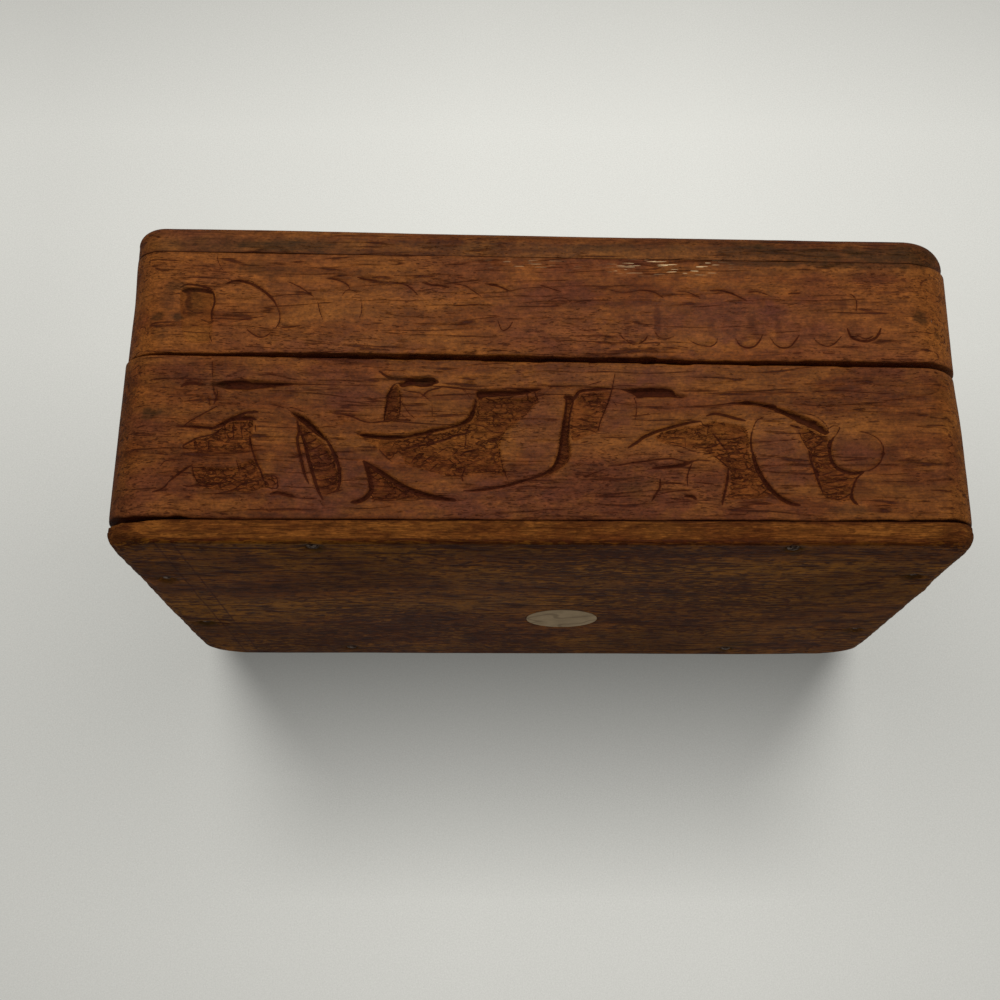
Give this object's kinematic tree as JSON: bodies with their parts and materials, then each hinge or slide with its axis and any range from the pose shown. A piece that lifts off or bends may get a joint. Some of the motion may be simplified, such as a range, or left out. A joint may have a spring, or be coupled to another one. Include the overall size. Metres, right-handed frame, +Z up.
{
  "type": "keepsake box",
  "caption": "Rectangular carved hardwood keepsake box with a lid sawn from the same carcass, hinged at the back on brass butt hinges, with a nailed bottom board.",
  "frame": {"origin": "centre of the underside, in the plane of the bottom board's flat face", "axes": "+X to the right along the carved front, +Y from the front to the hinges, +Z up"},
  "size_m": [0.2038, 0.118, 0.0829],
  "materials": {
    "wood": "dark reddish brown hardwood, hand carved, worn satin finish",
    "end_wood": "dark reddish brown hardwood, worn satin finish",
    "lid_top_wood": "dark brown hardwood, smudged and scratched satin finish",
    "bottom_wood": "unpolished brown hardwood with short dark pores",
    "nail_steel": "dull, darkened steel nail heads",
    "set_nail_steel": "dark steel nails set below the surface",
    "hinge_brass": "tarnished brass sheet",
    "screw_brass": "tarnished brass",
    "label_paper": "matt cream paper, slightly soiled"
  },
  "bodies": {
    "body": {"bottom_board": "bottom_wood", "body_front_board": "wood", "body_back_board": "wood", "body_left_end": "end_wood", "body_right_end": "end_wood", "bottom_nails": "nail_steel", "body_corner_nails": "set_nail_steel", "body_hinge_screws": "screw_brass", "left_hinge_body_leaf": "hinge_brass", "right_hinge_body_leaf": "hinge_brass", "left_hinge_pin": "hinge_brass", "right_hinge_pin": "hinge_brass", "paper_label": "label_paper"},
    "lid": {"lid_front_board": "wood", "lid_back_board": "wood", "lid_left_end": "end_wood", "lid_right_end": "end_wood", "lid_top_board": "lid_top_wood", "lid_corner_nails": "set_nail_steel", "lid_hinge_screws": "screw_brass", "left_hinge_lid_leaf": "hinge_brass", "right_hinge_lid_leaf": "hinge_brass"}
  },
  "joints": [
    {"name": "lid_hinge", "type": "hinge", "parent": "body", "child": "lid", "pos_m": [0.00001, 0.0568, 0.04645], "axis": [-0.9999, 0, 0.0155], "range_deg": [0, 100]}
  ]
}
